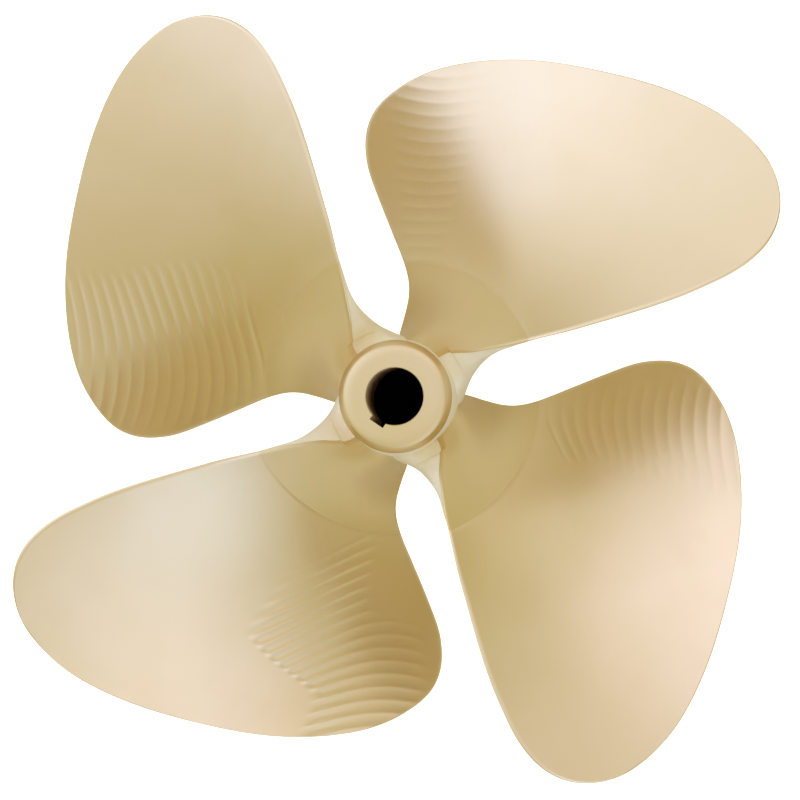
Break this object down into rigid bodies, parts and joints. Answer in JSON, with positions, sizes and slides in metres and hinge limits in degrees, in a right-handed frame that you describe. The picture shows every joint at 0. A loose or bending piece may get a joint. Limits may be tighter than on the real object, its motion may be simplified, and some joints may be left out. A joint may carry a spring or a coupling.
{
  "type": "ship propeller",
  "caption": "Fixed-pitch ship propeller cast in one piece: wide skewed blades on a turned hub with a tapered, keyed through bore.",
  "frame": {"origin": "centre of the hub's forward end face, on the shaft axis, on which the propeller stands", "axes": "+Z along the shaft axis towards aft, so the blades' pressure faces look up; the blades' reference lines lie on the diagonals of X and Y, and the keyway points to -X-Y under one of them; the slots between the blades lie along X and Y"},
  "size_m": [0.8122, 0.8122, 0.2396],
  "materials": {
    "bronze": "satin polished cast bronze with fine milling ripples near the leading edges"
  },
  "bodies": {
    "root": {"propeller": "bronze"}
  },
  "joints": []
}
